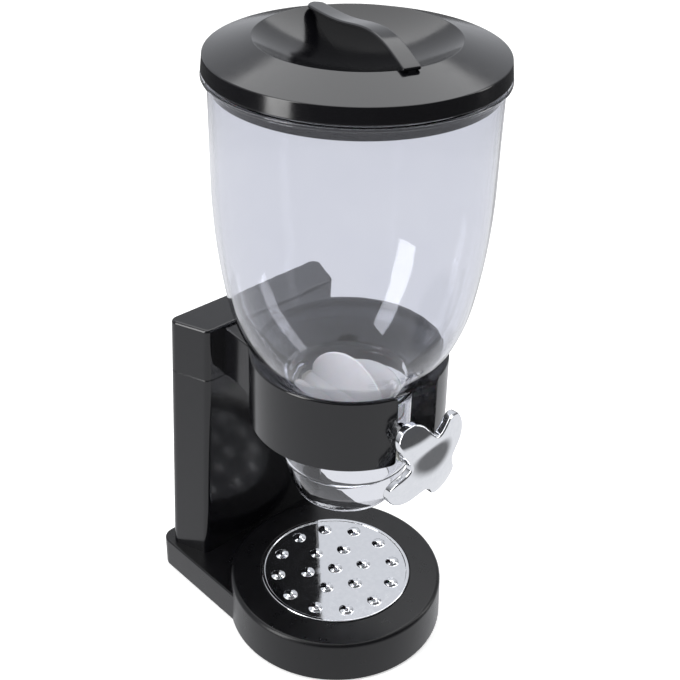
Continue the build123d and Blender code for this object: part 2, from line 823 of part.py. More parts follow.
# Lid: a cone with a deep dish, an outer skirt and a plug, all one wall, and a grip across the dish
seat_height = mouth_height + gasket_thickness
skirt_bore = bell_radius + slip_gap
skirt_radius = skirt_bore + skirt_wall
skirt_bottom = flange_bottom + flange_thickness + skirt_gap
lid_edge_height = seat_height + lid_edge_rise
crown_height = lid_edge_height + crown_rise
plug_radius = bell_radius - bell_wall - slip_gap
plug_bottom = mouth_height - plug_depth
dish_sphere = (dish_radius**2 + dish_depth**2) / (2 * dish_depth)
dish_angle = math.degrees(math.asin(dish_radius / dish_sphere))
dish_bottom = crown_height - dish_depth

grip_angle = math.radians(grip_turn)
grip_plane = Plane(
    (0, axis_y, crown_height),
    x_dir=(math.sin(grip_angle), math.cos(grip_angle), 0),
    z_dir=(math.cos(grip_angle), -math.sin(grip_angle), 0),
)
grip_front = dish_radius + grip_overhang
grip_rear = dish_radius - grip_rear_margin
web_sag = dish_depth + lid_wall / 2


def grip_line(drop):
    """Long section line of the grip's top, from its front end to its rear end, that much lower."""
    return [
        (-grip_front, grip_front_rise - drop),
        (-grip_climb_place, grip_climb_rise - drop),
        (-grip_peak_place, grip_rise - drop),
        (grip_fall_place, grip_fall_rise - drop),
        (grip_rear, grip_rear_rise - drop),
    ]


with BuildPart() as grip_band:
    with BuildSketch(grip_plane):
        with BuildLine():
            upper = Spline(grip_line(0))
            lower = Spline(grip_line(grip_thickness))
            Line(upper @ 0, lower @ 0)
            Line(upper @ 1, lower @ 1)
        make_face()
    extrude(amount=grip_width / 2, both=True)
    fillet(grip_band.edges().filter_by(GeomType.BSPLINE), grip_edge_round)

with BuildPart() as lid:
    with BuildSketch(upright) as lid_section:
        with BuildLine():
            dish = JernArc((0, dish_bottom), (1, 0), dish_sphere, dish_angle)
            under = JernArc((0, dish_bottom - lid_wall), (1, 0), dish_sphere + lid_wall, dish_angle)
            Line(dish @ 0, under @ 0)
            Polyline(
                dish @ 1,
                (skirt_radius - skirt_draft, lid_edge_height),
                (skirt_radius, skirt_bottom),
                (skirt_bore, skirt_bottom),
                (skirt_bore, seat_height),
                (plug_radius, seat_height),
                (plug_radius, plug_bottom),
                (plug_radius - plug_wall, plug_bottom),
                (plug_radius - plug_wall, seat_height),
                under @ 1,
            )
        make_face()
        fillet(lid_section.vertices().group_by(Axis.Y)[-1], dish_edge_round)
        fillet(lid_section.vertices().sort_by_distance((skirt_radius, lid_edge_height))[0], lid_edge_round)
    revolve(axis=spin)

    # Grip: a web across the dish with a broad band along its top
    with BuildSketch(grip_plane):
        with BuildLine():
            crest = Spline(grip_line(grip_thickness / 2))
            Polyline(
                crest @ 0,
                (-grip_front, -grip_overhang),
                (-dish_radius, -lid_wall / 2),
            )
            ThreePointArc((-dish_radius, -lid_wall / 2), (0, -web_sag), (grip_rear, -lid_wall / 2))
            Line((grip_rear, -lid_wall / 2), crest @ 1)
        make_face()
    extrude(amount=grip_web / 2, both=True)
    add(grip_band)

with BuildPart() as lid_gasket:
    with BuildSketch(level(mouth_height)):
        Circle(bell_radius)
        Circle(plug_radius + slip_gap, mode=Mode.SUBTRACT)
    extrude(amount=gasket_thickness)

pieces = {
    "base_shell": base_shell,
    "rubber_feet": rubber_feet,
    "column": column,
    "column_screws": column_screws,
    "support_arm": support_arm,
    "arm_screws": arm_screws,
    "tray": tray,
    "canister": canister,
    "front_bush": front_bush,
    "rear_bush": rear_bush,
    "shaft": shaft,
    "seal_washer": seal_washer,
    "wheel_hub": wheel_hub,
    "paddle_wheel": paddle_wheel,
    "knob": knob,
    "lid": lid,
    "lid_gasket": lid_gasket,
}

for name, piece in pieces.items():
    piece.part.label = name
    export_step(piece.part, f"parts/{name}.step")
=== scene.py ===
import json
import math

import bmesh
import bpy
from mathutils import Matrix, Vector


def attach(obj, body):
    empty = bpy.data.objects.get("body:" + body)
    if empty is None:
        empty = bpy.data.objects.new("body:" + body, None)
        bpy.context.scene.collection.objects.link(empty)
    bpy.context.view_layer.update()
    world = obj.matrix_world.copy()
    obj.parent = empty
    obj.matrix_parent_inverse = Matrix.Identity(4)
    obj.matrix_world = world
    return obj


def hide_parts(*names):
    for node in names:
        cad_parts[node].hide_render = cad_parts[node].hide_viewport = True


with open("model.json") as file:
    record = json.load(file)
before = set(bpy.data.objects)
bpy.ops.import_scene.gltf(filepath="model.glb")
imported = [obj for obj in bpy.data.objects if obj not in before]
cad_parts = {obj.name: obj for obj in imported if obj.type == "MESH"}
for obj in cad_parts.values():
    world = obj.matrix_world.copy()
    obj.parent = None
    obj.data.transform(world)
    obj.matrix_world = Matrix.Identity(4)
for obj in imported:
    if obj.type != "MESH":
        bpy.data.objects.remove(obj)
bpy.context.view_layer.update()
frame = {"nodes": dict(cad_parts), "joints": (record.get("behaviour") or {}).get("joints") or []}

MM = 0.001

# The dispensing axis and the shaft come from the wheel's joint. Sizes below are millimetres,
# measured from the dispensing axis and from the table.
wheel_joint = next(joint for joint in frame["joints"] if joint["name"] == "wheel_turn")
axis_y = wheel_joint["pos_m"][1] / MM
shaft_height = wheel_joint["pos_m"][2] / MM

slip_gap = 0.3
press_gap = 0.05
# How far a cutter starts outside the face that it cuts
knife = 1.0

# Base
base_lift = 1.5
base_wall = 2.6
platform_radius = 70.7
platform_draft = math.radians(1.9)
platform_top = 31.0
platform_setback = 7.0
platform_edge = 3.0
heel_half_width = 62.8
heel_top = 23.1
heel_rear = 119.5
heel_corner = 9.0
heel_edge = 1.2
recess_floor = 26.0
rib_thickness = 1.8
rib_height = 10.0
rib_meeting = 55.0
rib_overlap = 5.0
pad_radius = 7.0
pad_pocket_depth = 1.8
pad_places = ((-40.0, -31.0), (40.0, -31.0), (-52.0, 106.5), (52.0, 106.5))

# Column and support arm
column_front = 82.2
column_half_widths = (50.5, 61.0)
column_depth = 28.8
column_corner = 5.0
column_wall = 3.0
column_lean = math.radians(4.05)
column_top = 170.6
deck_depth = 10.0
seam_bevel = 0.4
block_top = 208.2
block_edge = 2.0
arm_wall = 3.0
neck_half_width = 38.0
neck_front = 40.7
neck_top_rear = 206.3
neck_top_front = 203.1
neck_sag = 3.0
neck_edge = 0.9
cell_rear = 80.0
collar_bottom = 164.2
collar_top = 210.7
collar_radius = 59.2
collar_top_radius = 58.8
collar_bore = 56.1
collar_edge = 1.4
# How far the arm's bore, and the ledge and cheeks, reach into the collar's wall
collar_cut = 1.2
collar_bite = 1.0
slot_half_width = 15.2
slot_corner = 3.0
slot_edge = 0.7
cheek_thickness = 2.5
cheek_gap = 0.9
ledge_bottom = 202.5
ledge_top = 207.0
seat_gap = 0.3
screw_spacing = 24.0

# Tray
tray_radius = 49.4
tray_thickness = 1.6
tray_rim_width = 2.2
tray_stand = 0.6
dome_radius = 4.5
dome_height = 2.0
dome_foot = 0.5
dome_fillet_start = 0.93
dome_rings = ((19.3, 6, 30.0), (38.9, 12, 28.0))

# Canister
bell_radius = 76.7
bell_wall = 2.2
mouth_height = 384.42
flange_radius = 80.0
flange_thickness = 2.0
flange_drop = 6.0
shoulder_height = 320.52
shoulder_arc = 390.0
shoulder_turn = math.radians(10.3)
funnel_arc = 109.4
throat_radius = 37.5
chamber_radius = 40.6
chamber_wall = 3.2
chamber_bottom = 137.94
outlet_radius = 38.0
outlet_drop = 2.7
outlet_height = 111.04
outlet_mouth_radius = 31.2
outlet_bulge = 1.3
boss_outer_radius = 10.5
front_boss_reach = 50.5
rear_boss_reach = 46.5
bush_radius = 7.6

# Wheel and knob
wheel_radius = 36.0
blade_thickness = 1.8
blade_turn = math.radians(26.5)
sleeve_radius = 9.5
sleeve_edge = 1.2
hub_radius = 7.5
blade_end = 32.6
knob_front = 73.5
knob_back = 53.0
knob_tip_radius = 32.8
knob_lobe_width = 21.0
knob_lobe_turn = math.radians(33.0)
knob_blend = 4.0
knob_rise = 7.7
knob_skirt = 5.2
knob_wall = 2.2
knob_edge = 1.1
knob_hub_radius = 8.5
knob_bore_radius = 4.05
knob_bore_depth = 13.3

# Lid
lid_wall = 2.5
lid_top_radius = 78.75
skirt_radius = 79.7
skirt_bore = 77.0
skirt_bottom = 379.82
seat_height = 385.42
lid_edge_height = 388.52
lid_edge_round = 0.9
crown_height = 396.22
dish_radius = 53.6
dish_depth = 16.0
dish_edge_round = 0.8
plug_radius = 74.2
plug_wall = 2.2
plug_bottom = 370.42
grip_turn = math.radians(16.6)
grip_web = 4.0
grip_width = 10.0
grip_thickness = 2.2
grip_line = ((-57.0, 1.6), (-46.0, 5.5), (-27.0, 9.7), (10.0, 5.3), (53.0, 2.4))
grip_round = 0.9
grip_tail = 5.0


def at(x, y, z):
    """A place measured from the dispensing axis and the table, as a Blender point."""
    return Vector((x, y + axis_y, z)) * MM


# Shapes

def new_object(name, data):
    """A new object in the scene."""
    made = bpy.data.objects.new(name, data)
    bpy.context.scene.collection.objects.link(made)
    return made


def build(name, points, faces, smooth_angle=32.0):
    """A mesh object from points in millimetres, shaded smooth except at its sharp edges."""
    mesh = bpy.data.meshes.new(name)
    mesh.from_pydata([at(*point) for point in points], [], faces)
    mesh.update()
    clean = bmesh.new()
    clean.from_mesh(mesh)
    bmesh.ops.recalc_face_normals(clean, faces=clean.faces)
    clean.to_mesh(mesh)
    clean.free()
    piece = new_object(name, mesh)
    shade(piece, smooth_angle)
    return piece


def shade(piece, smooth_angle):
    mesh = piece.data
    mesh.shade_smooth()
    mesh.set_sharp_from_angle(angle=math.radians(smooth_angle))


def settle(piece):
    """Turns a piece's modifiers into its own mesh."""
    graph = bpy.context.evaluated_depsgraph_get()
    mesh = bpy.data.meshes.new_from_object(piece.evaluated_get(graph))
    piece.modifiers.clear()
    old = piece.data
    piece.data = mesh
    mesh.name = piece.name
    bpy.data.meshes.remove(old)


def combine(piece, other, operation, smooth_angle=32.0):
    """Joins or cuts piece with other and removes other."""
    step = piece.modifiers.new("shape", "BOOLEAN")
    step.operation = operation
    step.solver = "EXACT"
    step.object = other
    settle(piece)
    bpy.data.objects.remove(other)
    shade(piece, smooth_angle)


def weld(piece, other, smooth_angle=32.0):
    combine(piece, other, "UNION", smooth_angle)


def cut(piece, other, smooth_angle=32.0):
    combine(piece, other, "DIFFERENCE", smooth_angle)


def soften(points, radius, steps=5, closed=False):
    """A polyline with its corners rounded, by one radius or by one radius for each corner."""
    nearly_straight = math.radians(178)
    # A rounding takes at most this share of the sides beside it
    side_share = 0.48
    count = len(points)
    radii = radius if isinstance(radius, (list, tuple)) else [radius] * count
    out = []
    for i, corner in enumerate(points):
        here = Vector(corner)
        if radii[i] <= 0 or (not closed and i in (0, count - 1)):
            out.append(tuple(here))
            continue
        before = Vector(points[i - 1]) - here
        after = Vector(points[(i + 1) % count]) - here
        turn = before.angle(after)
        if turn > nearly_straight:
            out.append(tuple(here))
            continue
        reach = radii[i] / math.tan(turn / 2)
        reach = min(reach, side_share * before.length, side_share * after.length)
        size = reach * math.tan(turn / 2)
        start = here + before.normalized() * reach
        middle = here + (before.normalized() + after.normalized()).normalized() * size / math.sin(turn / 2)
        first = start - middle
        sweep = math.pi - turn
        side = 1 if before.x * after.y - before.y * after.x < 0 else -1
        for k in range(steps + 1):
            angle = side * sweep * k / steps
            cos_a, sin_a = math.cos(angle), math.sin(angle)
            out.append((
                middle.x + first.x * cos_a - first.y * sin_a,
                middle.y + first.x * sin_a + first.y * cos_a,
            ))
    return out


def stack(name, rings, smooth_angle=32.0, closed=False):
    """A solid through rings of points, each of equally many points or of a single one.

    Its ends are capped or, if it is closed, its last ring joins its first.
    """
    size = max(len(ring) for ring in rings)
    points, numbers, faces = [], [], []
    for ring in rings:
        numbers.append([len(points) + k % len(ring) for k in range(size)])
        points.extend(ring)
    following = numbers[1:] + (numbers[:1] if closed else [])
    for near, far in zip(numbers, following):
        for k in range(size):
            after = (k + 1) % size
            faces.append([near[k], near[after], far[after], far[k]])
    if not closed:
        faces += [numbers[0][::-1], numbers[-1]]
    faces = [list(dict.fromkeys(face)) for face in faces]
    return build(name, points, [face for face in faces if len(face) > 2], smooth_angle)


def lathe(name, profile, steps=192, centre=(0.0, 0.0), smooth_angle=32.0, first=0.0):
    """Turns a closed outline of (radius, height) about an upright axis, from a first angle on."""
    rings = []
    for radius, height in profile:
        ring = []
        for k in range(steps if radius > 0 else 1):
            angle = first + 2 * math.pi * k / steps
            ring.append((centre[0] + radius * math.cos(angle), centre[1] + radius * math.sin(angle), height))
        rings.append(ring)
    return stack(name, rings, smooth_angle, True)


def post(name, start, direction, radius, length, steps=48, edge=0.0):
    """A straight round bar from a point along a direction, with rounded ends if edge is set."""
    way = Vector(direction).normalized()
    side = way.orthogonal().normalized()
    other = way.cross(side)
    rise = [(radius, 0.0), (radius, length)]
    if edge > 0:
        rise = []
        for k in range(5):
            angle = math.pi / 2 * k / 4
            rise.append((radius - edge + edge * math.sin(angle), edge - edge * math.cos(angle)))
        rise += [(r, length - h) for r, h in reversed(rise)]
    rings = []
    for size, height in rise:
        ring = []
        for k in range(steps):
            angle = 2 * math.pi * k / steps
            spot = Vector(start) + way * height
            spot += side * size * math.cos(angle) + other * size * math.sin(angle)
            ring.append(tuple(spot))
        rings.append(ring)
    return stack(name, rings)


def along_shaft(name, start, length, radius, steps=48, edge=0.0):
    """A round bar on the shaft's axis, from start backwards or, if length is negative, forwards."""
    way = (0, math.copysign(1, length), 0)
    return post(name, (0, start, shaft_height), way, radius, abs(length), steps, edge)


def block(name, low, high):
    """A plain box, as a rib or to cut other shapes."""
    (x0, y0, z0), (x1, y1, z1) = low, high
    rings = [
        [(x0, y0, z0), (x1, y0, z0), (x1, y1, z0), (x0, y1, z0)],
        [(x0, y0, z1), (x1, y0, z1), (x1, y1, z1), (x0, y1, z1)],
    ]
    return stack(name, rings)


def circle_arc(centre, radius, start, end, steps):
    """Points on an arc, angles in radians, both ends included."""
    out = []
    for k in range(steps + 1):
        angle = start + (end - start) * k / steps
        out.append((centre[0] + radius * math.cos(angle), centre[1] + radius * math.sin(angle)))
    return out


def ball_through(radius, rise):
    """Radius of the ball that a cap of this radius and height is part of."""
    return (radius ** 2 + rise ** 2) / (2 * rise)


def even_normals(piece):
    """Lets broad flat faces set the shading at their rounded edges."""
    step = piece.modifiers.new("even", "WEIGHTED_NORMAL")
    step.keep_sharp = True
    settle(piece)


def place(piece, body, slot, finish, *nodes):
    """Gives a piece its finish, lets it ride on a body and stand for CAD nodes."""
    even_normals(piece)
    piece.data.materials.clear()
    piece.data.materials.append(finish)
    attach(piece, body)
    if nodes:
        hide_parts(*nodes)


def inset_corners(corners, inset):
    """The same closed outline with every side moved inwards by a distance."""
    area = sum(a[0] * b[1] - b[0] * a[1] for a, b in zip(corners, corners[1:] + corners[:1]))
    turn = 1 if area > 0 else -1
    out = []
    for i, corner in enumerate(corners):
        here = Vector(corner)
        before = (here - Vector(corners[i - 1])).normalized()
        after = (Vector(corners[(i + 1) % len(corners)]) - here).normalized()
        normal = Vector((-before.y, before.x)) * turn + Vector((-after.y, after.x)) * turn
        normal.normalize()
        reach = inset / max(0.3, normal.dot(Vector((-before.y, before.x)) * turn))
        out.append(tuple(here + normal * reach))
    return out


def quarter(edge, steps=5):
    """Inset and drop of points round a rounded edge, from the flat side to the edge's end."""
    return [(edge * (1 - math.cos(math.pi / 2 * k / steps)), edge * (1 - math.sin(math.pi / 2 * k / steps)))
            for k in range(steps + 1)]


def joined(name, parts):
    """Several separate pieces as one object."""
    merged = bmesh.new()
    for part in parts:
        merged.from_mesh(part.data)
        bpy.data.objects.remove(part)
    mesh = bpy.data.meshes.new(name)
    merged.to_mesh(mesh)
    merged.free()
    return new_object(name, mesh)


def funnel_radius(height, outside=0.0):
    """Radius of the bell's funnel at a height, that far outside it."""
    start = shoulder_height - shoulder_arc * math.sin(shoulder_turn)
    angle = math.asin(math.sin(shoulder_turn) + (start - height) / funnel_arc)
    radius = bell_radius - shoulder_arc * (1 - math.cos(shoulder_turn))
    return radius - funnel_arc * (math.cos(shoulder_turn) - math.cos(angle)) + outside


# Materials

def linear(code):
    """An sRGB hex colour as linear RGBA."""
    out = []
    for k in (1, 3, 5):
        value = int(code[k:k + 2], 16) / 255
        out.append(value / 12.92 if value <= 0.04045 else ((value + 0.055) / 1.055) ** 2.4)
    return (*out, 1.0)


def material(name):
    """A new node material and its shader."""
    made = bpy.data.materials.new(name)
    made.use_nodes = True
    return made, made.node_tree.nodes["Principled BSDF"]


def add(tree, kind, settings=None, values=None, links=None):
    """Adds a node with its settings, socket values and incoming links."""
    made = tree.nodes.new(kind)
    for key, value in (settings or {}).items():
        setattr(made, key, value)
    for key, value in (values or {}).items():
        made.inputs[key].default_value = value
    for key, source in (links or {}).items():
        tree.links.new(source, made.inputs[key])
    return made


def set_values(shader, values):
    for key, value in values.items():
        shader.inputs[key].default_value = value


def per_mm(size):
    """Texture scale at which one feature measures this many millimetres."""
    return 1 / (size * MM)


def noise(tree, spot, size, detail, roughness=0.5):
    values = {"Scale": per_mm(size), "Detail": detail, "Roughness": roughness}
    return add(tree, "ShaderNodeTexNoise", values=values, links={"Vector": spot}).outputs["Fac"]


def dress(tree, shader, pattern, span, tones, gloss):
    """Takes a colour between two tones and the roughness from a pattern.

    gloss is the roughness at the two ends of span, a range of the pattern's values.
    """
    tint = add(tree, "ShaderNodeMix", {"data_type": "RGBA"}, {"A": linear(tones[0]), "B": linear(tones[1])},
               {"Factor": pattern})
    limits = {"From Min": span[0], "From Max": span[1], "To Min": gloss[0], "To Max": gloss[1]}
    spread = add(tree, "ShaderNodeMapRange", values=limits, links={"Value": pattern})
    tree.links.new(tint.outputs["Result"], shader.inputs["Base Color"])
    tree.links.new(spread.outputs["Result"], shader.inputs["Roughness"])


def moulded(name, tones, gloss, mottle, relief, bump, values, span=(0.3, 0.8), upright=1.0):
    """A moulded surface whose mottle sets colour and gloss, and whose relief bends reflections.

    mottle and relief give a feature's size in millimetres and the noise's detail, bump its
    strength and its depth in millimetres. An upright below one draws the relief out upwards.
    """
    made, shader = material(name)
    tree = made.node_tree
    spot = add(tree, "ShaderNodeTexCoord").outputs["Object"]
    drawn = add(tree, "ShaderNodeMapping", values={"Scale": (1.0, 1.0, upright)}, links={"Vector": spot})
    dress(tree, shader, noise(tree, spot, *mottle), span, tones, gloss)
    raised = add(tree, "ShaderNodeBump", values={"Strength": bump[0], "Distance": bump[1] * MM},
                 links={"Height": noise(tree, drawn.outputs["Vector"], *relief)})
    tree.links.new(raised.outputs["Normal"], shader.inputs["Normal"])
    set_values(shader, values)
    return made


# ABS, injection moulded: a faint flow waviness and handling haze
moulded_abs = {
    "mottle": (9, 6.0, 0.65), "relief": (38, 2.0), "bump": (0.05, 0.6), "span": (0.3, 0.75),
}
# From a polished tool, with a deep gloss
black_abs = moulded(
    "black ABS moulded", tones=("#09090c", "#0d0d10"), gloss=(0.11, 0.19),
    values={"IOR": 1.54, "Specular IOR Level": 0.5}, **moulded_abs)
# From a duller tool, for the base
satin_abs = moulded(
    "black ABS moulded satin", tones=("#09090b", "#0d0d10"), gloss=(0.26, 0.34),
    values={"IOR": 1.54, "Specular IOR Level": 0.35}, **moulded_abs)
# ABS, moulded and chrome plated: a bright mirror that ripples where the plating follows the moulding
chrome = moulded(
    "chrome plated ABS", tones=("#e4e6ea", "#f2f3f5"), gloss=(0.03, 0.09), mottle=(3, 5.0),
    relief=(14, 1.5), bump=(0.06, 0.4), values={"Metallic": 1.0})
# SAN, injection moulded clear: a violet grey cast and long upright flow lines
clear = moulded(
    "clear SAN moulded", tones=("#ecedf3", "#f1f2f6"), gloss=(0.0, 0.04), mottle=(30, 4.0),
    relief=(22, 2.0), bump=(0.3, 0.7), values={"Transmission Weight": 1.0, "IOR": 1.5}, upright=0.12)
# Silicone rubber, compression moulded: soft white that lets a little light in
silicone = moulded(
    "white silicone moulded", tones=("#dcdcde", "#e8e8ea"), gloss=(0.38, 0.5), mottle=(6.4, 4.0),
    relief=(0.8, 3.0), bump=(0.2, 0.05),
    values={"IOR": 1.41, "Subsurface Weight": 0.15, "Subsurface Scale": 0.004})
# Nylon, natural: milky satin
nylon = moulded(
    "natural nylon moulded", tones=("#dcdbd4", "#e8e7e2"), gloss=(0.35, 0.5), mottle=(4.8, 4.0),
    relief=(0.6, 3.0), bump=(0.2, 0.04), values={"IOR": 1.53})
# EPDM rubber, moulded: matt black with a dusty bloom
rubber = moulded(
    "black EPDM rubber", tones=("#141414", "#222222"), gloss=(0.7, 0.85), mottle=(4.0, 4.0),
    relief=(0.5, 3.0), bump=(0.2, 0.08), values={"IOR": 1.5})


def zinc_plate():
    """Steel, cold headed and zinc plated: bluish grey with a fine crystalline mottle."""
    made, shader = material("zinc plated steel")
    tree = made.node_tree
    spot = add(tree, "ShaderNodeTexCoord").outputs["Object"]
    crystal = add(tree, "ShaderNodeTexVoronoi", values={"Scale": per_mm(0.9)}, links={"Vector": spot})
    dress(tree, shader, crystal.outputs["Distance"], (0.0, 1.0), ("#b9bcc2", "#9da1a8"), (0.25, 0.45))
    set_values(shader, {"Metallic": 1.0})
    return made


zinc = zinc_plate()

# CAD nodes whose shape is already right keep it and get their finish
kept_finishes = {
    "rubber_feet": rubber,
    "column_screws": zinc,
    "arm_screws": zinc,
    "front_bush": nylon,
    "rear_bush": nylon,
    "shaft": nylon,
    "wheel_hub": nylon,
    "seal_washer": silicone,
    "lid_gasket": silicone,
}
for node_name, finish in kept_finishes.items():
    kept = frame["nodes"][node_name]
    kept.data.materials.clear()
    kept.data.materials.append(finish)


# Canister

def bell_line(inset, steps=26):
    """The bell's wall from the shoulder down to the throat, that far inside its outer face.

    It is two arcs that share a tangent.
    """
    middle = bell_radius - shoulder_arc
    first = circle_arc((middle, shoulder_height), shoulder_arc - inset, 0, -shoulder_turn, steps)
    centre_radius = middle + (shoulder_arc - funnel_arc) * math.cos(shoulder_turn)
    centre_height = shoulder_height - (shoulder_arc - funnel_arc) * math.sin(shoulder_turn)
    last = math.acos((throat_radius - centre_radius) / funnel_arc)
    second = circle_arc((centre_radius, centre_height), funnel_arc - inset, -shoulder_turn, -last, steps)
    return first + second[1:]


def outlet_curve(inset, steps=10):
    """The outlet's bulging wall, from its shoulder down to its mouth."""
    top = chamber_bottom - outlet_drop
    out = []
    for k in range(steps + 1):
        share = k / steps
        radius = outlet_radius + (outlet_mouth_radius - outlet_radius) * share
        radius += 4 * outlet_bulge * share * (1 - share)
        out.append((radius - inset, top + (outlet_height - top) * share))
    return out


def make_canister():
    outside = bell_line(0)
    inside = bell_line(bell_wall)[::-1]
    step_height = outside[-1][1]
    bore = chamber_radius - chamber_wall
    flange_low = mouth_height - flange_drop - flange_thickness
    rim = soften([
        (bell_radius - bell_wall, mouth_height - 4),
        (bell_radius - bell_wall, mouth_height),
        (bell_radius, mouth_height),
        (bell_radius, flange_low + flange_thickness),
        (flange_radius, flange_low + flange_thickness),
        (flange_radius, flange_low),
        (bell_radius, flange_low),
        (bell_radius, flange_low - 4),
    ], 0.7, 4)
    chamber = soften([
        outside[-1],
        (chamber_radius, step_height),
        (chamber_radius, chamber_bottom),
        outlet_curve(0)[0],
    ], [0, 0.8, 0.6, 0], 4)[1:-1]
    mouth = soften([
        outlet_curve(0)[-2], outlet_curve(0)[-1], outlet_curve(bell_wall)[-1], outlet_curve(bell_wall)[-2],
    ], 0.6, 3)[1:-1]
    inner = [
        (bore, chamber_bottom + bell_wall),
        (bore, step_height - 2 * bell_wall),
        (throat_radius - bell_wall, step_height - 2 * bell_wall),
        (throat_radius - bell_wall, step_height - bell_wall),
    ]
    profile = rim + outside + chamber + outlet_curve(0)[:-1] + mouth
    profile += outlet_curve(bell_wall)[:-1][::-1] + inner + inside
    piece = lathe("canister_body", profile)
    half = chamber_radius - chamber_wall / 2
    weld(piece, along_shaft("boss", -half, half - front_boss_reach, boss_outer_radius, 64))
    weld(piece, along_shaft("boss", half, rear_boss_reach - half, boss_outer_radius, 64))
    rear_depth = rear_boss_reach - bell_wall - sleeve_radius
    cut(piece, along_shaft("bore", -sleeve_radius, -front_boss_reach, bush_radius, 64))
    cut(piece, along_shaft("bore", sleeve_radius, rear_depth, bush_radius, 64))
    # Clear walls let the lamps reach the wheel
    piece.visible_shadow = False
    place(piece, "canister", "clear_plastic", clear, "canister")


make_canister()


# Paddle wheel

def blade_disc(name, turn):
    """One blade pair: a thin round disc through the shaft's axis with rounded edges."""
    half = blade_thickness / 2
    across = (math.cos(turn), 0.0, math.sin(turn))
    normal = (-math.sin(turn), 0.0, math.cos(turn))
    limit = math.acos(blade_end / wheel_radius)
    outline = []
    for start, end in ((limit, math.pi - limit), (math.pi + limit, 2 * math.pi - limit)):
        for k in range(49):
            angle = start + (end - start) * k / 48
            outline.append((wheel_radius * math.sin(angle), wheel_radius * math.cos(angle)))
    rings = []
    for share in range(7):
        lean = math.pi * share / 6 - math.pi / 2
        offset_by, inset = half * math.sin(lean), half * (1 - math.cos(lean))
        ring = []
        for reach, along in outline:
            size = 1 - inset / wheel_radius
            spot = [across[i] * reach * size + normal[i] * offset_by for i in range(3)]
            spot[1] += along * size
            ring.append((spot[0], spot[1], spot[2] + shaft_height))
        rings.append(ring)
    return stack(name, rings, 60)


def make_wheel():
    piece = blade_disc("soft_paddle_wheel", blade_turn)
    for k in (1, 2):
        weld(piece, blade_disc("blade", blade_turn + k * math.pi / 3), 50)
    weld(piece, along_shaft("sleeve", -blade_end, 2 * blade_end, sleeve_radius, 48, sleeve_edge), 50)
    bore = along_shaft("bore", -blade_end - 3, 2 * blade_end + 6, hub_radius + press_gap)
    cut(piece, bore, 50)
    place(piece, "wheel", "white_silicone", silicone, "paddle_wheel")


make_wheel()


# Knob

def lobe_reach(angle):
    """Radius of the knob's outline: two crossing rounded bars, blended in the valleys."""
    half = knob_lobe_width / 2
    end = knob_tip_radius - half
    total = 0.0
    for turn in (knob_lobe_turn, knob_lobe_turn + math.pi / 2):
        apart = abs(math.sin(angle - turn))
        ahead = abs(math.cos(angle - turn))
        side_reach = half / max(apart, 1e-6)
        if side_reach * ahead <= end:
            reach = side_reach
        else:
            reach = end * ahead + math.sqrt(max(half ** 2 - (end * apart) ** 2, 0.0))
        total += reach ** knob_blend
    return total ** (1 / knob_blend)


def lobe_outline(steps=240):
    """Points round the knob's outline with their outward directions."""
    spots = []
    for k in range(steps):
        angle = 2 * math.pi * k / steps
        spots.append(Vector((math.cos(angle), math.sin(angle))) * min(lobe_reach(angle), knob_tip_radius))
    out = []
    for k, spot in enumerate(spots):
        along = (spots[(k + 1) % steps] - spots[k - 1]).normalized()
        out.append((spot, Vector((along.y, -along.x))))
    return out


def knob_face(radius):
    """How far the knob's dome lies behind its front at a radius."""
    ball = ball_through(knob_tip_radius, knob_rise)
    return ball - math.sqrt(max(ball ** 2 - radius ** 2, 0.0))


def make_knob():
    outline = lobe_outline()
    layers = []

    def layer(inset, depth, share=1.0):
        ring = []
        for spot, outward in outline:
            flat = (spot - outward * inset) * share
            fall = knob_face(flat.length)
            ring.append((flat.x, depth + fall - knob_front, shaft_height + flat.y))
        layers.append(ring)

    rounds = 22
    for k in range(1, rounds + 1):
        layer(knob_edge, 0.0, k / rounds)
    for k in range(1, 7):
        lean = math.pi / 2 * k / 6
        layer(knob_edge * (1 - math.sin(lean)), knob_edge * (1 - math.cos(lean)))
    rim = knob_wall / 2
    layer(0.0, knob_skirt - rim)
    for k in range(1, 9):
        lean = math.pi * k / 8
        layer(rim * (1 - math.cos(lean)), knob_skirt - rim + rim * math.sin(lean))
    layer(knob_wall, knob_wall + 0.8)
    layer(knob_wall + 0.3, knob_wall + 0.25)
    layer(knob_wall + 0.9, knob_wall)
    for k in range(rounds - 1, 0, -1):
        layer(knob_wall + 0.9, knob_wall, k / rounds)
    middle = [[(0.0, depth - knob_front, shaft_height)] for depth in (0.0, knob_wall)]
    piece = stack("lobed_knob", middle[:1] + layers + middle[1:], 50)
    hub_length = knob_front - knob_back - knob_wall / 2
    weld(piece, along_shaft("hub", -knob_back, -hub_length, knob_hub_radius, 64), 50)
    for turn in (knob_lobe_turn, knob_lobe_turn + math.pi / 2):
        weld(piece, knob_rib(turn), 50)
    bore = along_shaft("bore", -knob_back + knife, -(knob_bore_depth + knife), knob_bore_radius)
    cut(piece, bore, 50)
    place(piece, "wheel", "chrome_plated_plastic", chrome, "knob")


def knob_rib(turn):
    """A rib behind the dome along two lobes, as deep as the skirt."""
    reach = knob_tip_radius - knob_wall / 2
    half = rib_thickness / 2
    along = (math.cos(turn), math.sin(turn))
    rings = []
    for k in range(33):
        spot = -reach + 2 * reach * k / 32
        fall = knob_face(abs(spot))
        ring = []
        for aside, depth in ((-half, knob_wall / 2), (half, knob_wall / 2), (half, knob_skirt - 0.2),
                             (-half, knob_skirt - 0.2)):
            ring.append((spot * along[0] - aside * along[1], depth + fall - knob_front,
                         shaft_height + spot * along[1] + aside * along[0]))
        rings.append(ring)
    return stack("rib", rings)


make_knob()


# Base shell

def platform_side(height):
    """Outer radius of the drafted platform at a height."""
    return platform_radius - (height - base_lift) * math.tan(platform_draft)


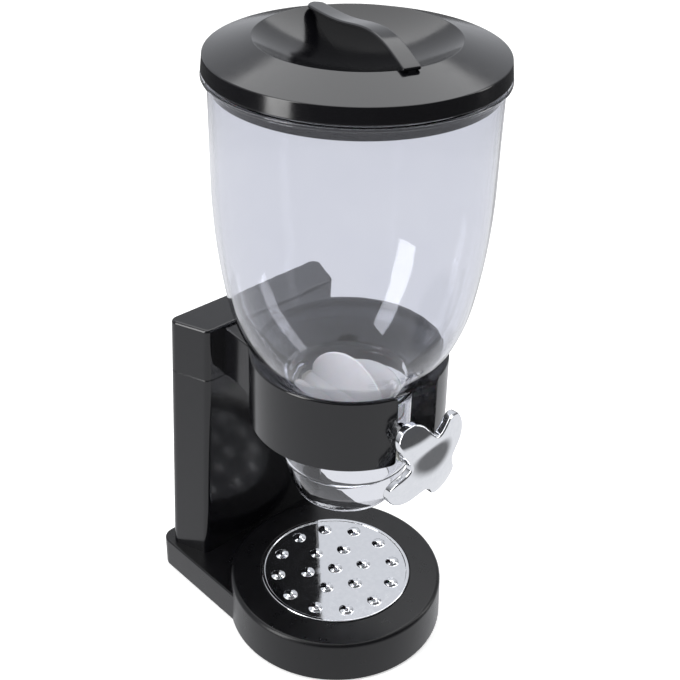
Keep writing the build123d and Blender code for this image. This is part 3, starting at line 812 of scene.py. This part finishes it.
def heel_plan(inset):
    half = heel_half_width - inset
    rear = heel_rear - inset
    corners = [(-half, platform_setback), (half, platform_setback), (half, rear), (-half, rear)]
    corner = max(0.5, heel_corner - inset)
    return soften(corners, [0, 0, corner, corner], 10, True)


def make_base():
    recess = tray_radius + slip_gap
    outline = soften([
        (0.0, recess_floor),
        (recess, recess_floor),
        (recess, platform_top),
        (platform_side(platform_top), platform_top),
        (platform_side(base_lift), base_lift),
        (0.0, base_lift),
    ], [0, 0.5, 0.6, platform_edge, 0.5, 0], 8)
    piece = lathe("base_moulding", outline, 256, (0.0, platform_setback))
    rings = [[(x, y, base_lift) for x, y in heel_plan(0)]]
    for inset, drop in quarter(heel_edge):
        rings.append([(x, y, heel_top - drop) for x, y in heel_plan(inset)])
    weld(piece, stack("heel", rings))

    # The underside is hollow, with a deeper groove under the platform's shoulder
    ceiling = heel_top - base_wall
    hollow = [[(x, y, z) for x, y in heel_plan(base_wall)] for z in (base_lift - knife, ceiling)]
    cut(piece, stack("hollow", hollow))
    floor_below = recess_floor - base_wall
    groove_top = platform_top - base_wall
    hollow = lathe("hollow", [
        (0.0, base_lift - knife),
        (platform_side(base_lift) - base_wall, base_lift - knife),
        (platform_side(floor_below) - base_wall, floor_below),
        (platform_radius - base_wall - platform_edge / 2, floor_below),
        (platform_radius - base_wall - platform_edge / 2, groove_top),
        (recess + base_wall, groove_top),
        (recess + base_wall, floor_below),
        (0.0, floor_below),
    ], 128, (0.0, platform_setback))
    cut(piece, hollow)
    reach = platform_radius - base_wall / 2
    low, high = floor_below - rib_height, floor_below + base_wall / 2
    half = rib_thickness / 2
    ribs = [((-reach, platform_setback - half, low), (reach, platform_setback + half, high))]
    near = platform_setback - math.sqrt(reach ** 2 - screw_spacing ** 2)
    meeting = platform_setback + rib_meeting
    heel_high = ceiling + base_wall / 2
    for x in (-screw_spacing, screw_spacing):
        ribs.append(((x - half, near, low), (x + half, meeting + rib_overlap, high)))
        ribs.append(((x - half, meeting, low), (x + half, heel_rear - base_wall / 2, heel_high)))
    for first, last in ribs:
        weld(piece, block("rib", first, last))
    for x, y in pad_places:
        top = groove_top + base_wall / 2 if y < 0 else heel_high
        pillar = post("post", (x, y, base_lift), (0, 0, 1), pad_radius + base_wall, top - base_lift)
        weld(piece, pillar)
        pocket = post("pocket", (x, y, base_lift - knife), (0, 0, 1), pad_radius + press_gap,
                      pad_pocket_depth + knife)
        cut(piece, pocket)
    place(piece, "stand", "black_gloss_plastic", satin_abs, "base_shell")


make_base()


# Column and support arm

def column_plan(height, inset):
    """Plan of the leaning column at a height, drawn that far inside."""
    front = column_front - (height - heel_top) * math.tan(column_lean)
    near, far = column_half_widths
    corners = [(-near, front), (near, front), (far, front + column_depth), (-far, front + column_depth)]
    corner = max(0.6, column_corner - inset)
    return [(x, y, height) for x, y in soften(inset_corners(corners, inset), corner, 8, True)]


def make_column():
    levels = ((heel_top, 0), (column_top - seam_bevel, 0), (column_top, seam_bevel))
    piece = stack("column_moulding", [column_plan(height, inset) for height, inset in levels])
    deck = column_top - deck_depth
    for low, high in ((heel_top - knife, deck - column_wall), (deck, column_top + knife)):
        cavity = stack("hollow", [column_plan(low, column_wall), column_plan(high, column_wall)])
        cut(piece, cavity)
    place(piece, "stand", "black_gloss_plastic", black_abs, "column")


make_column()


def neck_outline():
    """The neck seen from the side, with its lower edge arched.

    It ends just inside the block, off the block's own faces.
    """
    seam = column_front - (column_top - heel_top) * math.tan(column_lean)
    start = Vector((neck_front + arm_wall, collar_bottom))
    end = Vector((seam + 1.0, column_top + 0.3))
    lower = []
    for k in range(13):
        share = k / 12
        spot = start.lerp(end, share)
        lower.append((spot.x, spot.y + 4 * neck_sag * share * (1 - share)))
    return lower + [
        (seam + arm_wall / 2, column_top + arm_wall),
        (seam - 0.8, neck_top_rear - 0.2),
        (neck_front, neck_top_front),
        (neck_front, collar_bottom),
    ]


def collar_section(trim, inset):
    """Cross-section of the collar's wall as radius and height, trimmed at top and bottom."""
    return soften([
        (collar_radius - inset, collar_bottom + trim),
        (collar_top_radius - inset, collar_top - trim),
        (collar_bore + inset, collar_top - trim),
        (collar_bore + inset, collar_bottom + trim),
    ], [0.5, collar_edge, 0.7, 0.5], 5, True)


def around(name, section, ends, far_steps=132):
    """Sweeps a section round the canister's axis from one side of the front slot to the other.

    ends lists, for each distance from the slot's side, what the section is called with.
    """
    rings = []
    for distance, trim, inset in ends:
        ring = []
        for radius, height in section(trim, inset):
            angle = math.asin((slot_half_width + distance) / radius)
            ring.append((radius * math.sin(angle), -radius * math.cos(angle), height))
        rings.append(ring)
    last = ends[-1][0]
    nearest = min(radius for radius, height in section(0.0, 0.0))
    start = math.asin((slot_half_width + last) / nearest) + math.radians(1.5)
    half_way = []
    for k in range(far_steps + 1):
        angle = start + (2 * math.pi - 2 * start) * k / far_steps
        half_way.append([(r * math.sin(angle), -r * math.cos(angle), h) for r, h in section(0.0, 0.0)])
    mirrored = [[(-x, y, z) for x, y, z in ring] for ring in rings[::-1]]
    return stack(name, rings + half_way + mirrored)


def slot_end_steps():
    """Distances from the slot's side, with the corner's trim and the rounded edge's inset."""
    out = []
    for distance in (0.0, 0.05, 0.2, 0.45, 0.7, 1.1, 1.6, 2.2, slot_corner):
        trim = slot_corner - math.sqrt(slot_corner ** 2 - (slot_corner - distance) ** 2)
        short = max(0.0, slot_edge - distance)
        inset = slot_edge - math.sqrt(slot_edge ** 2 - short ** 2)
        out.append((distance, trim, inset))
    return out


def make_arm():
    rings = [column_plan(column_top, seam_bevel), column_plan(column_top + seam_bevel, 0)]
    for inset, drop in quarter(block_edge, 6):
        rings.append(column_plan(block_top - drop, inset))
    piece = stack("arm_moulding", rings)
    outline = neck_outline()
    sides = [(neck_half_width - drop, inset) for inset, drop in quarter(neck_edge, 4)]
    rings = []
    for x, inset in [(-x, inset) for x, inset in sides[::-1]] + sides:
        rings.append([(x, y, z) for y, z in inset_corners(outline, inset)])
    weld(piece, stack("neck", rings))

    # Hollow below, in cells between the ribs
    hollow = [column_plan(height, column_wall) for height in (column_top - knife, block_top - arm_wall)]
    cut(piece, stack("hollow", hollow))
    half = rib_thickness / 2
    edges = (-neck_half_width + arm_wall, -screw_spacing / 2 - half, -screw_spacing / 2 + half,
             screw_spacing / 2 - half, screw_spacing / 2 + half, neck_half_width - arm_wall)
    for low, high in zip(edges[::2], edges[1::2]):
        near, far = (low, neck_front - 2, collar_bottom - 2), (high, cell_rear, neck_top_front - arm_wall)
        cut(piece, block("cell", near, far))

    # Collar, cleared for the canister, with its ledge and the cheeks of its slot
    bore, below, above = collar_bore + collar_cut, collar_bottom - 5, collar_top + 5
    cut(piece, lathe("bore", [(0.0, below), (bore, below), (bore, above), (0.0, above)], 128))
    weld(piece, around("collar", collar_section, slot_end_steps()))

    def ledge_section(trim, inset):
        out = [(collar_bore + collar_bite, ledge_bottom), (collar_bore + collar_bite, ledge_top)]
        for k in range(7):
            height = ledge_top + (ledge_bottom - ledge_top) * k / 6
            out.append((funnel_radius(height, seat_gap), height))
        return out

    weld(piece, around("ledge", ledge_section, [(0.02, 0.0, 0.0), (slot_corner, 0.0, 0.0)]))
    for side in (-1, 1):
        weld(piece, slot_cheek(side))
    place(piece, "stand", "black_gloss_plastic", black_abs, "support_arm")


def slot_cheek(side):
    """Plate that returns inwards from one side of the slot and follows the canister."""
    middle = slot_half_width + cheek_thickness / 2
    clear_of = [(chamber_radius + cheek_gap, collar_bottom)]
    # It runs straight up until the funnel grows wider than the chamber
    heights = (190 + k * 0.05 for k in range(400))
    turn = next(height for height in heights if funnel_radius(height, seat_gap) > clear_of[0][0])
    for k in range(9):
        height = turn + (ledge_top - turn) * k / 8
        clear_of.append((funnel_radius(height, seat_gap), height))
    inner = [(-math.sqrt(radius ** 2 - middle ** 2), height) for radius, height in clear_of]
    outer = -math.sqrt((collar_bore + collar_bite) ** 2 - middle ** 2)
    outline = [(outer, collar_bottom)] + inner + [(outer, ledge_top)]
    rings = []
    for x in (slot_half_width, slot_half_width + cheek_thickness):
        rings.append([(side * x, y, z) for y, z in outline])
    return stack("cheek", rings)


make_arm()


# Tray

def dome_cap(steps=18):
    """A spherical cap from its top down, with a small fillet that runs out into the plate."""
    ball = ball_through(dome_radius, dome_height)
    edge = math.asin(dome_radius / ball) * dome_fillet_start
    out = [(0.0, platform_top + dome_height)]
    for k in range(1, steps + 1):
        angle = edge * k / steps
        out.append((ball * math.sin(angle), platform_top + dome_height - ball * (1 - math.cos(angle))))
    radius, height = out[-1]
    for share in (0.3, 0.6, 1.0):
        out.append((radius + (dome_radius + dome_foot - radius) * share,
                    platform_top + (height - platform_top) * (1 - share) ** 2))
    return out


def dome_profile():
    """The cap, its fillet cut short, on a plug that sinks into the plate."""
    sunk = platform_top - tray_thickness / 2
    cap = dome_cap()
    radius = cap[-1][0]
    return cap[:-1] + [(radius, platform_top - 0.03), (radius, sunk), (0.0, sunk)]


def make_tray():
    rim_top = platform_top + tray_stand
    plate_low = platform_top - tray_thickness
    outline = dome_cap() + soften([
        (tray_radius - tray_rim_width - 3, platform_top),
        (tray_radius - tray_rim_width, platform_top),
        (tray_radius - tray_rim_width, rim_top),
        (tray_radius, rim_top),
        (tray_radius, recess_floor),
        (tray_radius - tray_rim_width, recess_floor),
        (tray_radius - tray_rim_width, plate_low),
        (0.0, plate_low),
    ], [0, 0.5, 0.5, 0.6, 0.4, 0.4, 0.6, 0], 6)
    # Tray and domes start at unlike angles, so that no edges coincide where they join
    piece = lathe("plated_tray", outline, 240, (0.0, platform_setback), 40, math.radians(0.4))
    domes = []
    for ring, count, first in dome_rings:
        for k in range(count):
            angle = math.radians(first + 360 * k / count)
            spot = (ring * math.cos(angle), platform_setback + ring * math.sin(angle))
            domes.append(lathe("dome", dome_profile(), 48, spot, 40, math.radians(0.7)))
    weld(piece, joined("domes", domes), 40)
    place(piece, "tray", "chrome_plated_plastic", chrome, "tray")


make_tray()


# Lid

def make_lid():
    ball = ball_through(dish_radius, dish_depth)
    dish_bottom = crown_height - dish_depth
    dish, under = [], []
    for k in range(41):
        angle = math.asin(dish_radius / ball) * k / 40
        dish.append((ball * math.sin(angle), dish_bottom + ball * (1 - math.cos(angle))))
        wide = ball + lid_wall
        under.append((wide * math.sin(angle), dish_bottom - lid_wall + wide * (1 - math.cos(angle))))
    crown = soften([dish[-2], dish[-1], (lid_top_radius, lid_edge_height), (skirt_radius, skirt_bottom),
                    (skirt_bore, skirt_bottom), (skirt_bore, seat_height)],
                   [0, dish_edge_round, lid_edge_round, 0.5, 0.4, 0], 6)[1:]
    plug = soften([(plug_radius, seat_height), (plug_radius, plug_bottom),
                   (plug_radius - plug_wall, plug_bottom), (plug_radius - plug_wall, seat_height)],
                  [0, 0.6, 0.6, 0], 4)
    piece = lathe("lid_moulding", dish[:-1] + crown + plug + under[::-1], 256)
    weld(piece, grip_web_solid())
    weld(piece, grip_band_solid())
    place(piece, "lid", "black_gloss_plastic", black_abs, "lid")


def grip_rise(place_along):
    """Height of the grip's top above the crown: a natural cubic through its few points."""
    xs = [spot[0] for spot in grip_line]
    ys = [spot[1] for spot in grip_line]
    count = len(xs)
    gaps = [xs[i + 1] - xs[i] for i in range(count - 1)]
    bends = [0.0] * count
    scales = [1.0] * count
    for i in range(1, count - 1):
        pull = 3 * ((ys[i + 1] - ys[i]) / gaps[i] - (ys[i] - ys[i - 1]) / gaps[i - 1])
        scales[i] = 2 * (xs[i + 1] - xs[i - 1]) - (gaps[i - 1] ** 2 / scales[i - 1] if i > 1 else 0)
        bends[i] = pull - (gaps[i - 1] * bends[i - 1] / scales[i - 1] if i > 1 else 0)
    curves = [0.0] * count
    for i in range(count - 2, 0, -1):
        curves[i] = (bends[i] - gaps[i] * curves[i + 1]) / scales[i]
    i = max(k for k in range(count - 1) if place_along >= xs[k] - 1e-9)
    apart = place_along - xs[i]
    slope = (ys[i + 1] - ys[i]) / gaps[i] - gaps[i] * (2 * curves[i] + curves[i + 1]) / 3
    bend = (curves[i + 1] - curves[i]) / (3 * gaps[i])
    return ys[i] + slope * apart + curves[i] * apart ** 2 + bend * apart ** 3


def on_grip(along, aside, height):
    """A place on the lid, along and across the grip and above the crown."""
    return (
        along * math.sin(grip_turn) + aside * math.cos(grip_turn),
        along * math.cos(grip_turn) - aside * math.sin(grip_turn),
        crown_height + height,
    )


def grip_web_solid():
    """The thin wall under the grip, from the dish's floor up into the band."""
    ball = ball_through(dish_radius, dish_depth)
    first, last = grip_line[0][0] + 0.6, grip_line[-1][0] - 0.4
    half = grip_web / 2
    rings = []
    for k in range(61):
        along = first + (last - first) * k / 60
        reach = min(abs(along), dish_radius)
        low = -dish_depth + ball - math.sqrt(ball ** 2 - reach ** 2) - lid_wall / 2
        high = grip_rise(along) - grip_thickness / 2
        rings.append([on_grip(along, aside, height) for aside, height in
                      ((-half, low), (half, low), (half, high), (-half, high))])
    return stack("web", rings)


def grip_band_solid():
    """The band along the grip's top, rounded at its edges and at its rear end."""
    first, last = grip_line[0][0], grip_line[-1][0]
    stations = [0.0, 0.15, 0.45, grip_round] + [
        grip_round + (last - first - grip_round - grip_tail) * k / 48 for k in range(1, 49)]
    stations += [last - first - grip_tail + grip_tail * math.sin(math.pi / 2 * k / 7) for k in range(1, 8)]
    rings = []
    for station in stations:
        along = first + station
        before = grip_rise(max(first, along - 0.5))
        after = grip_rise(min(last, along + 0.5))
        slope = math.atan2(after - before, min(last, along + 0.5) - max(first, along - 0.5))
        inset = grip_round - math.sqrt(grip_round ** 2 - max(0.0, grip_round - station) ** 2)
        half = grip_width / 2 - inset
        tail = last - first - station
        if tail < grip_tail:
            half = max(0.35, math.sqrt(max(0.0, grip_tail ** 2 - (grip_tail - tail) ** 2)))
        thick = grip_thickness - inset
        corners = [(-half, -thick), (half, -thick), (half, -inset), (-half, -inset)]
        section = soften(corners, min(grip_round, half * 0.45), 4, True)
        middle = grip_rise(along)
        rings.append([on_grip(along - height * math.sin(slope), aside, middle + height * math.cos(slope))
                      for aside, height in section])
    return stack("band", rings, 50)


make_lid()


# Floor, light and camera

# What gloss sees is painted reflection: a floor glow that fades to dim further out, with a painted dark
# patch in front of the knob, and a world that is pale towards the back and overhead. Each fade is two
# distances in metres, or two shares of the way that the world is pale towards.
painted_floor_reflection_levels, painted_floor_reflection_fade = (0.88, 0.1), (0.75, 1.1)
painted_dark_patch_levels, painted_dark_patch_fade, painted_dark_patch_place = (0.2, 1.0), (0.09, 0.16), (200, -300, 0)
painted_reflection_levels, painted_reflection_fade, painted_reflection_pale_way = (0.1, 0.78), (-0.1, 0.85), (0.3, 0.8, 0.6)
level_through_walls = 0.86


def by_ray(tree, kind, others, these):
    """The shader these for rays of one kind, and others for all the rest."""
    path = add(tree, "ShaderNodeLightPath")
    links = {"Fac": path.outputs[kind], 1: others, 2: these}
    return add(tree, "ShaderNodeMixShader", links=links).outputs["Shader"]


def ramp(tree, source, fade, levels):
    """Goes smoothly between two levels while source crosses the fade."""
    limits = {"From Min": fade[0], "From Max": fade[1], "To Min": levels[0], "To Max": levels[1]}
    made = add(tree, "ShaderNodeMapRange", {"interpolation_type": "SMOOTHSTEP"}, limits, {"Value": source})
    return made.outputs["Result"]


def pale_through_walls(tree, level):
    """The same level, but never dim for rays that a clear wall sends on."""
    path = add(tree, "ShaderNodeLightPath")
    pale = add(tree, "ShaderNodeMath", {"operation": "MULTIPLY"}, {1: level_through_walls},
               {0: path.outputs["Is Transmission Ray"]})
    kept = add(tree, "ShaderNodeMath", {"operation": "MAXIMUM"}, links={0: level, 1: pale.outputs[0]})
    return kept.outputs[0]


def make_floor():
    """White paper sheet, which glows for the camera and shows gloss a painted reflection that fades out."""
    size = 3.0
    mesh = bpy.data.meshes.new("floor")
    corners = [(-size, -size, 0), (size, -size, 0), (size, size, 0), (-size, size, 0)]
    mesh.from_pydata(corners, [], [(0, 1, 2, 3)])
    floor = new_object("floor", mesh)
    made, shader = material("white paper sweep")
    tree = made.node_tree
    set_values(shader, {"Base Color": linear("#f4f4f4"), "Roughness": 0.9})
    glow = add(tree, "ShaderNodeEmission", values={"Color": (1, 1, 1, 1), "Strength": 0.45})
    bare = shader.outputs["BSDF"]
    glowing = add(tree, "ShaderNodeAddShader", links={0: bare, 1: glow.outputs["Emission"]})
    paper = by_ray(tree, "Is Camera Ray", bare, glowing.outputs["Shader"])

    spot = add(tree, "ShaderNodeTexCoord").outputs["Object"]
    away = add(tree, "ShaderNodeVectorMath", {"operation": "LENGTH"}, links={0: spot})
    beside = add(tree, "ShaderNodeVectorMath", {"operation": "DISTANCE"}, {1: at(*painted_dark_patch_place)}, {0: spot})
    # Painted reflection: the glow that gloss sees fades with distance from the object, and a painted dark
    # patch dims it in front of the knob
    level = add(tree, "ShaderNodeMath", {"operation": "MULTIPLY"}, links={
        0: ramp(tree, away.outputs["Value"], painted_floor_reflection_fade, painted_floor_reflection_levels),
        1: ramp(tree, beside.outputs["Value"], painted_dark_patch_fade, painted_dark_patch_levels),
    })
    dim = add(tree, "ShaderNodeEmission", values={"Color": (0.96, 0.97, 1.0, 1.0)},
              links={"Strength": pale_through_walls(tree, level.outputs[0])})
    tree.links.new(by_ray(tree, "Is Glossy Ray", paper, dim.outputs["Emission"]),
                   tree.nodes["Material Output"].inputs["Surface"])
    mesh.materials.append(made)


make_floor()


def make_world():
    """Even light. Gloss sees a painted reflection instead: pale towards the back and overhead, dim towards
    the front.
    """
    world = bpy.data.worlds.new("studio")
    bpy.context.scene.world = world
    world.use_nodes = True
    tree = world.node_tree
    even = tree.nodes["Background"]
    even.inputs["Color"].default_value = (1, 1, 1, 1)
    path = add(tree, "ShaderNodeLightPath")
    level = add(tree, "ShaderNodeMapRange", values={"To Min": 0.5, "To Max": 1.0},
                links={"Value": path.outputs["Is Camera Ray"]})
    tree.links.new(level.outputs["Result"], even.inputs["Strength"])
    # Painted reflection: gloss sees the world pale towards the back and overhead and dim towards the front,
    # though it lights the object evenly
    way = add(tree, "ShaderNodeTexCoord").outputs["Generated"]
    lift = add(tree, "ShaderNodeVectorMath", {"operation": "DOT_PRODUCT"}, {1: painted_reflection_pale_way}, {0: way})
    strength = pale_through_walls(tree, ramp(tree, lift.outputs["Value"], painted_reflection_fade, painted_reflection_levels))
    painted_world_for_gloss = add(tree, "ShaderNodeBackground", values={"Color": (0.93, 0.95, 1.0, 1.0)},
               links={"Strength": strength})
    tree.links.new(by_ray(tree, "Is Glossy Ray", even.outputs["Background"], painted_world_for_gloss.outputs["Background"]),
                   tree.nodes["World Output"].inputs["Surface"])


make_world()


def lamp(name, place_mm, look_mm, size, power):
    data = bpy.data.lights.new(name, "AREA")
    data.shape = "RECTANGLE"
    data.size, data.size_y = size
    data.energy = power
    light = new_object(name, data)
    light.location = at(*place_mm)
    light.rotation_euler = (at(*look_mm) - at(*place_mm)).to_track_quat("-Z", "Y").to_euler()


lamp("left softbox", (-1300, 200, 700), (0, 0, 250), (0.5, 1.4), 14)
lamp("right softbox", (1100, -700, 700), (0, 0, 250), (0.3, 1.2), 4)
lamp("top softbox", (200, 250, 1500), (0, 0, 200), (1.7, 1.7), 16)

# Solved from the circles and upright edges in the photograph
camera_place = (-410.2, -425.5, 588.2)
camera_forward = Vector((0.58115, 0.61389, -0.53423))
camera_roll = math.radians(1.349)
camera_lens = 63.41


def make_camera():
    data = bpy.data.cameras.new("camera")
    data.lens = camera_lens
    data.sensor_width = 36
    data.clip_start = 0.01
    camera = new_object("camera", data)
    right = camera_forward.cross(Vector((0, 0, 1))).normalized()
    up = right.cross(camera_forward).normalized()
    tilted_right = right * math.cos(camera_roll) + up * math.sin(camera_roll)
    tilted_up = up * math.cos(camera_roll) - right * math.sin(camera_roll)
    turn = Matrix((tilted_right, tilted_up, -camera_forward.normalized())).transposed()
    camera.matrix_world = Matrix.Translation(at(*camera_place)) @ turn.to_4x4()
    bpy.context.scene.camera = camera


make_camera()
bpy.context.scene.view_settings.view_transform = "Standard"
